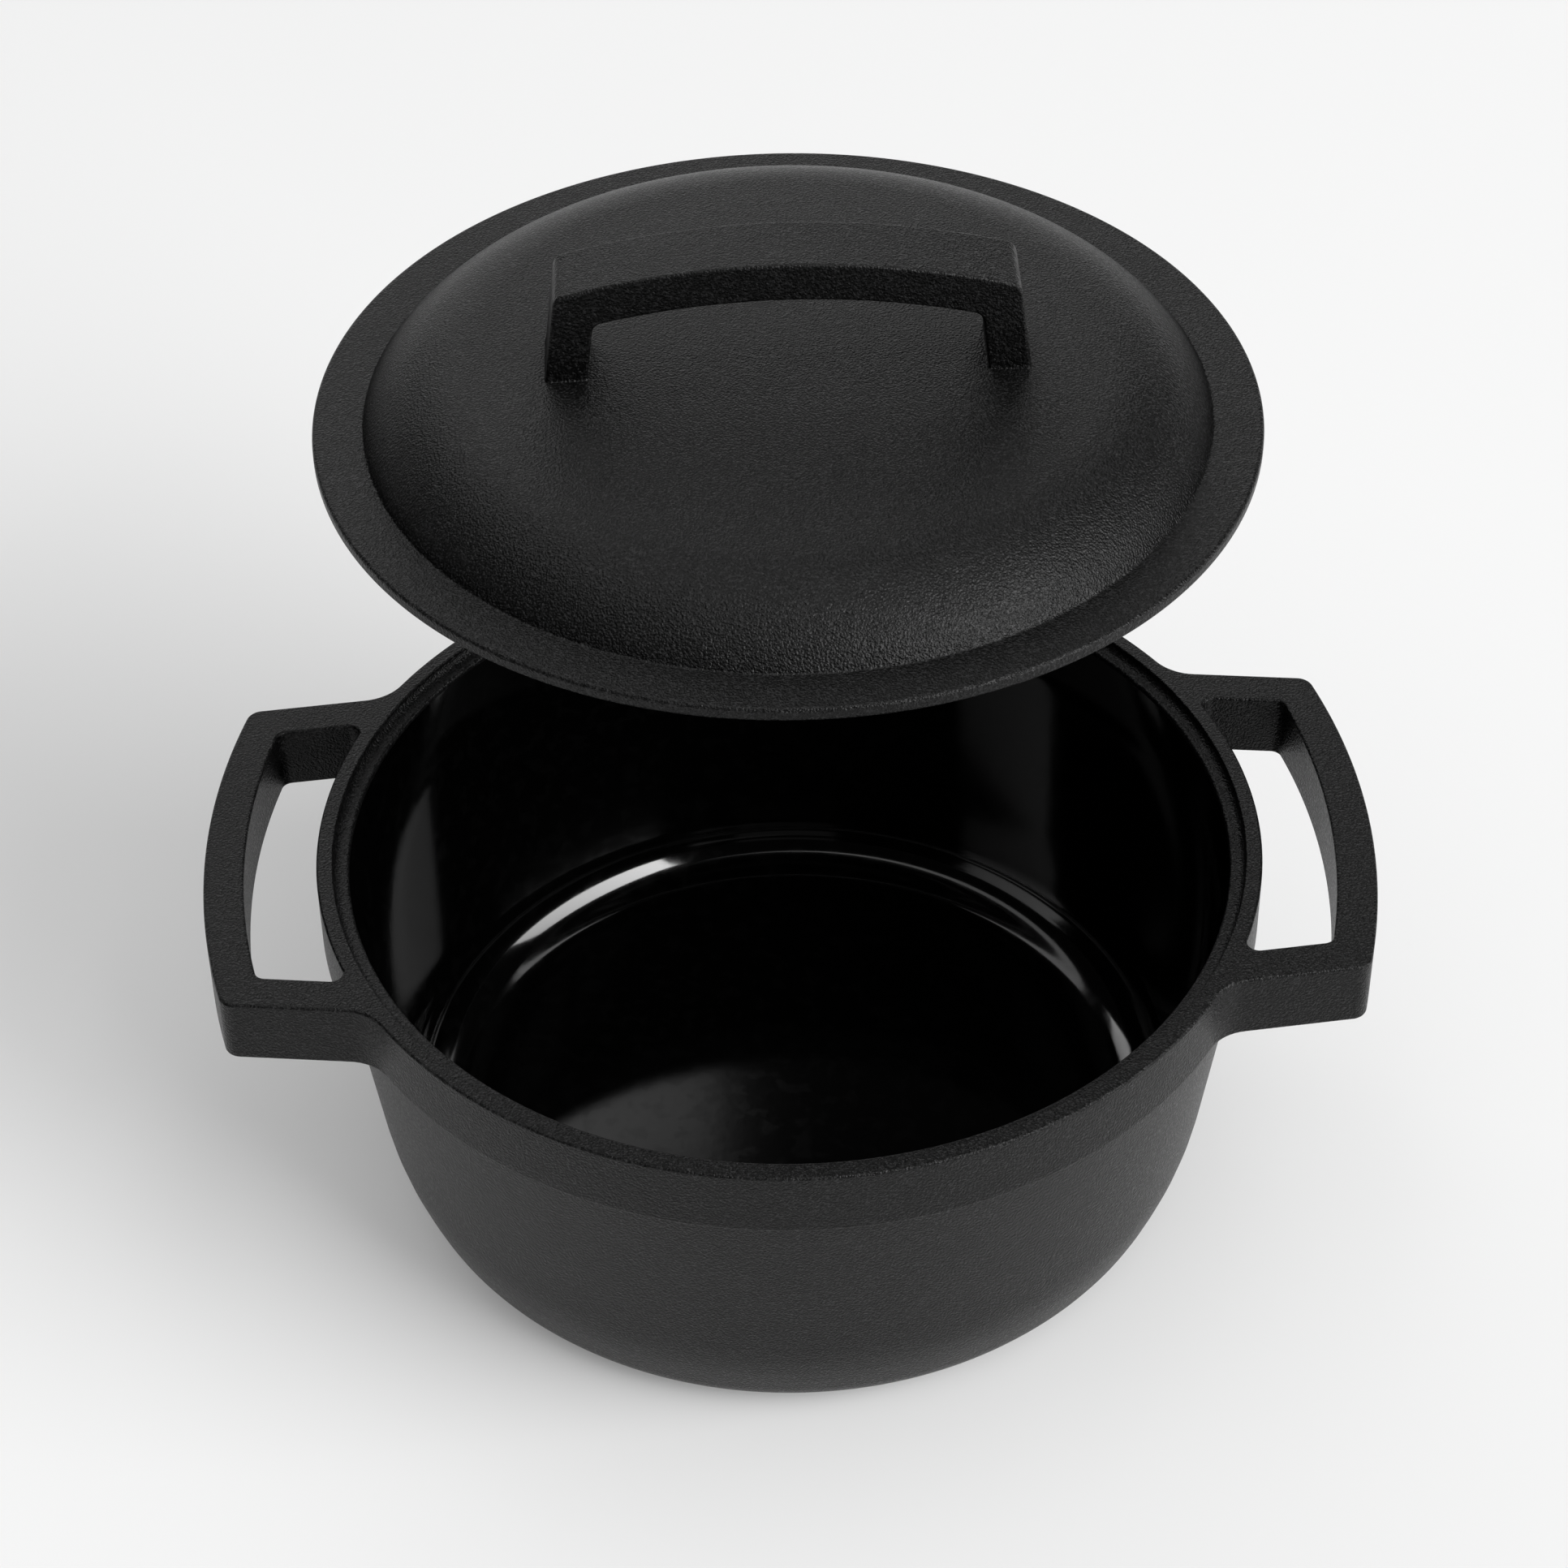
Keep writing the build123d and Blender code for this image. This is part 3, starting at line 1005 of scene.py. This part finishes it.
    def handle(self) -> tuple[list[Patch], list[tuple[np.ndarray, np.ndarray]]]:
        """The handle above its feet.

        Returns:
            Its surfaces, and the closed row of points round each leg's lower end.
        """
        across, along = self.foot_faces
        outer, inner = self.legs()
        outside = self.plate.sides(outer, across)
        inside_rows = self.plate.sides(inner, across)
        share = np.linspace(0, 1, along + 1)[1:-1, None]
        rims = [self.plate.rim(outer), self.plate.rim(inner)]
        first = rims[1][0] + (rims[0][0] - rims[1][0]) * share
        last = rims[0][-1] + (rims[1][-1] - rims[0][-1]) * share
        ring = np.vstack([rims[0], last, rims[1][::-1], first])
        patches = [loft(outside), loft(inside_rows)]
        patches += [self.plate.face(ring, [], top) for top in (True, False)]
        feet = []
        for end, between in ((-1, last), (0, first[::-1])):
            points = [row[0][end] for row in outside]
            out = [row[1][end] for row in outside]
            points += list(self.plate.placed(between, self.plate.high))
            out += [self.plate.axes[2]] * len(between)
            points += [row[0][end] for row in inside_rows[::-1]]
            out += [row[1][end] for row in inside_rows[::-1]]
            points += list(self.plate.placed(between[::-1], self.plate.low))
            out += [-self.plate.axes[2]] * len(between)
            feet.append((np.array(points), np.array(out)))
        return patches, feet

    def foot(self, points: np.ndarray, out: np.ndarray, side: int) -> tuple[Patch, np.ndarray]:
        """The rounding from a leg into the crown.

        Args:
            points: The row of points round the leg's lower end.
            out: The ways out there.
            side: 1 for the leg at positive x, -1 for the other.

        Returns:
            The rounding, and its edge on the crown seen from above.
        """
        lean = math.radians(self.handle_taper)
        down = np.array([side * math.sin(lean), 0.0, -math.cos(lean)])
        root = points.copy()
        for _ in range(self.landings):
            drop = (root[:, 2] - self.height_of_crown(root[:, :2])) / -down[2]
            root += down * drop[:, None]
        level = out * np.array([1.0, 1.0, 0.0])
        level /= np.linalg.norm(level, axis=1)[:, None]
        edge = root + level * self.foot_rounding
        edge[:, 2] = self.height_of_crown(edge[:, :2])
        near = points + (root - points) * QUARTER_PULL
        far = edge + (root - edge) * QUARTER_PULL
        rows = []
        for t in np.linspace(0, 1, self.foot_rows + 1):
            u = 1 - t
            spot = u**3 * points + 3 * u * u * t * near + 3 * u * t * t * far + t**3 * edge
            run = 3 * u * u * (near - points) + 6 * u * t * (far - near) + 3 * t * t * (edge - far)
            forth = (run * out).sum(axis=1)[:, None]
            fall = (run * down).sum(axis=1)[:, None]
            way = fall * out - forth * down
            rows.append((spot, way / np.linalg.norm(way, axis=1)[:, None]))
        crown = np.column_stack([edge[:, :2], edge[:, 2] - self.crown_centre[1]])
        rows[-1] = (rows[-1][0], crown / self.crown_radius)
        return loft(rows, closed=True), edge[:, :2]

    def crown(self, feet: list[np.ndarray]) -> Patch:
        """The middle of the crown, with an opening where each foot lands."""
        around = np.linspace(0, FULL_TURN, TURN_STEPS, endpoint=False)
        circle = np.column_stack([np.cos(around), np.sin(around)])
        rings = []
        radius = self.crown_patch - self.ring_gap / 4
        while radius > self.ring_gap:
            count = max(6, round(FULL_TURN * radius / self.ring_gap))
            turn = np.linspace(0, FULL_TURN, count, endpoint=False)
            rings.append(radius * np.column_stack([np.cos(turn), np.sin(turn)]))
            radius -= self.ring_gap
        flat, faces = filled(circle * self.crown_patch, feet, np.vstack(rings))
        corners = np.column_stack([flat, self.height_of_crown(flat)])
        out = (corners - np.array([0.0, 0.0, self.crown_centre[1]])) / self.crown_radius
        return Patch(corners, out, faces)

    def build(self, lathe: TurningTree, finishes: dict[Slot, bpy.types.Material]) -> None:
        """Makes the lid's two pieces.

        Args:
            lathe: The tree that turns profiles.
            finishes: The materials.
        """
        matte, gloss = finishes[Slot.MATTE], finishes[Slot.GLOSS]
        handle, legs = self.handle()
        feet = [self.foot(*leg, side) for leg, side in zip(legs, (1, -1))]
        crown = self.crown([edge for _, edge in feet])
        skins = [lathe.turn(self.section(), matte), crown, *handle, *[patch for patch, _ in feet]]
        linings = [lathe.turn(self.lining_section(), gloss)]
        for patch in skins + linings:
            patch.corners = patch.corners + self.place
        settle(welded("lid_body", skins, matte), Body.LID, "lid_casting")
        settle(welded("lid_enamel_lining", linings, gloss), Body.LID, "lid_lining")


# ---------------------------------------------------------------- studio


@dataclass(frozen=True)
class Softbox:
    """A lamp behind a flat diffuser, brighter towards one side."""

    name: str
    facing: tuple[float, float]  # degrees to its plane: round from the cook to the right, and up
    sides: tuple[float, float]  # degrees from there to its two ends, as the object sees them
    heights: tuple[float, float]  # degrees from there to its lower and upper edge
    radiance: float  # 1 would look white
    shares: tuple[float, float] = (1.0, 1.0)  # of the radiance, at its two ends
    round: bool = False
    distance: float = 6.0

    def light(self, target: Vector) -> bpy.types.Object:
        """Makes the lamp.

        Args:
            target: What it looks at.

        Returns:
            The lamp's object.
        """
        turn, rise = (math.radians(angle) for angle in self.facing)
        away = Vector(
            (math.sin(turn) * math.cos(rise), -math.cos(turn) * math.cos(rise), math.sin(rise))
        )
        left, right = (self.distance * math.tan(math.radians(angle)) for angle in self.sides)
        low, high = (self.distance * math.tan(math.radians(angle)) for angle in self.heights)
        lamp = bpy.data.lights.new(self.name, "AREA")
        lamp.shape = "ELLIPSE" if self.round else "RECTANGLE"
        lamp.size, lamp.size_y = right - left, high - low
        face = lamp.size * lamp.size_y * (math.pi / 4 if self.round else 1.0)
        lamp.energy = self.radiance * math.pi * face
        self._fade(lamp)
        placed = bpy.data.objects.new(self.name, lamp)
        across = Vector((math.cos(turn), math.sin(turn), 0.0))
        up = away.cross(across)
        pose = Matrix((across, up, away)).transposed().to_4x4()
        middle = across * (left + right) / 2 + up * (low + high) / 2
        pose.translation = target + away * self.distance + middle
        placed.matrix_world = pose
        placed.visible_camera = False
        bpy.context.scene.collection.objects.link(placed)
        return placed

    def _fade(self, lamp: bpy.types.AreaLight) -> None:
        """Shades the lamp from one end to the other."""
        lamp.use_nodes = True
        nodes, link = lamp.node_tree.nodes, lamp.node_tree.links.new
        place, parts = nodes.new("ShaderNodeNewGeometry"), nodes.new("ShaderNodeSeparateXYZ")
        link(place.outputs["Parametric"], parts.inputs["Vector"])
        share = nodes.new("ShaderNodeMapRange")
        share.inputs["To Min"].default_value, share.inputs["To Max"].default_value = self.shares
        link(parts.outputs["X"], share.inputs["Value"])
        link(share.outputs["Result"], nodes["Emission"].inputs["Strength"])


@dataclass
class Studio:
    """A pale floor, soft light and the camera."""

    floor_size: float = 12.0
    floor_color: tuple[float, float, float] = (0.61, 0.61, 0.61)
    floor_glow: float = 0.2  # of its own, so that the shadows stay light
    floor_roughness: float = 0.9
    world_strength: float = 0.01
    backdrop: float = 0.85  # what is seen past the floor
    camera_lens: float = 89.63  # in millimetres, as is the sensor's width
    sensor_width: float = 36.0
    camera_clip: tuple[float, float] = (0.01, 100.0)
    camera_distance: float = 1.0350
    camera_pitch: float = 0.716165  # in radians, as are the roll and yaw
    camera_roll: float = -0.0132816
    camera_yaw: float = 0.0292856
    aim: tuple[float, float] = (0.0012613, -0.0127256)  # of the rim's middle, as tangents
    softboxes: list[Softbox] = field(
        default_factory=lambda: [
            Softbox("key softbox", (62.0, 0.0), (-26.5, 26.5), (14.0, 47.0), 11.6, (1.0, 0.45)),
            Softbox("back softbox", (-165.0, 0.0), (-15.0, 31.0), (29.0, 47.3), 3.0, (0.15, 1.0)),
            Softbox("back strip", (180.0, 0.0), (-24.0, 24.0), (-2.0, 34.0), 0.95),
            Softbox(
                "top softbox",
                (0.0, 90.0),
                (-46.0, 40.0),
                (-43.0, 34.6),
                1.08,
                (0.72, 1.55),
                round=True,
            ),
        ]
    )

    def camera(self, rim: Vector) -> None:
        """Puts the camera where the pot is seen from above and in front.

        Args:
            rim: The middle of the pot's rim.
        """
        pitch, roll = self.camera_pitch, self.camera_roll
        forward = Vector((0.0, math.cos(pitch), -math.sin(pitch)))
        right = Vector((1.0, 0.0, 0.0))
        up = right.cross(forward)
        across = math.cos(roll) * right + math.sin(roll) * up
        upward = -math.sin(roll) * right + math.cos(roll) * up
        offset = (across * self.aim[0] + upward * self.aim[1] + forward) * self.camera_distance
        turn = Matrix.Rotation(-self.camera_yaw, 4, "Z")
        pose = Matrix((across, upward, -forward)).transposed().to_4x4()
        pose.translation = -offset
        camera = bpy.data.cameras.new("camera")
        camera.lens, camera.sensor_width = self.camera_lens, self.sensor_width
        camera.clip_start, camera.clip_end = self.camera_clip
        placed = bpy.data.objects.new("camera", camera)
        placed.matrix_world = Matrix.Translation(rim) @ turn @ pose
        bpy.context.scene.collection.objects.link(placed)
        bpy.context.scene.camera = placed

    def floor(self, level: float) -> None:
        """Lays the floor.

        Args:
            level: Its height.
        """
        half = self.floor_size / 2
        mesh = bpy.data.meshes.new("floor")
        corners = [(x * half, y * half, level) for x, y in ((-1, -1), (1, -1), (1, 1), (-1, 1))]
        mesh.from_pydata(corners, [], [(0, 1, 2, 3)])
        paper = bpy.data.materials.new("pale paper")
        paper.use_nodes = True
        tree = paper.node_tree
        shader = tree.nodes["Principled BSDF"]
        shader.inputs["Base Color"].default_value = (*self.floor_color, 1.0)
        shader.inputs["Roughness"].default_value = self.floor_roughness
        shader.inputs["Specular IOR Level"].default_value = 0.0
        shader.inputs["Emission Color"].default_value = (1.0, 1.0, 1.0, 1.0)
        ray = tree.nodes.new("ShaderNodeLightPath").outputs
        seen = maths(tree, "MAXIMUM", ray["Is Camera Ray"], ray["Is Glossy Ray"])
        glow = maths(tree, "MULTIPLY", seen, self.floor_glow)
        tree.links.new(glow, shader.inputs["Emission Strength"])
        mesh.materials.append(paper)
        floor = bpy.data.objects.new("floor", mesh)
        bpy.context.scene.collection.objects.link(floor)

    def world(self) -> None:
        """Leaves a trace of light in the dark studio, which looks pale past the floor."""
        world = bpy.data.worlds.new("studio")
        bpy.context.scene.world = world
        world.use_nodes = True
        tree = world.node_tree
        seen = tree.nodes.new("ShaderNodeLightPath").outputs["Is Camera Ray"]
        strength = maths(tree, "MULTIPLY_ADD", seen, self.backdrop, self.world_strength)
        background = tree.nodes["Background"]
        background.inputs["Color"].default_value = (1.0, 1.0, 1.0, 1.0)
        tree.links.new(strength, background.inputs["Strength"])

    def build(self, rim: Vector, level: float) -> None:
        """Makes the floor, lamps, world and camera.

        Args:
            rim: The middle of the pot's rim.
            level: The floor's height.
        """
        self.floor(level)
        self.world()
        for softbox in self.softboxes:
            softbox.light(rim)
        self.camera(rim)
        view = bpy.context.scene.view_settings
        view.view_transform = "Standard"


def main() -> None:
    """Builds the pieces, the studio and the camera."""
    logging.basicConfig(level=logging.INFO, format="%(message)s")
    skin, lathe = SurfaceGroup(), TurningTree()
    finishes = {Slot.MATTE: MATTE_ENAMEL.material(skin), Slot.GLOSS: GLOSS_ENAMEL.material(skin)}
    pot, lid = Pot(), Lid()
    pot.build(lathe, finishes)
    lid.build(lathe, finishes)
    Studio().build(Vector((0.0, 0.0, pot.top)), pot.base)


if __name__ == "__main__":
    main()
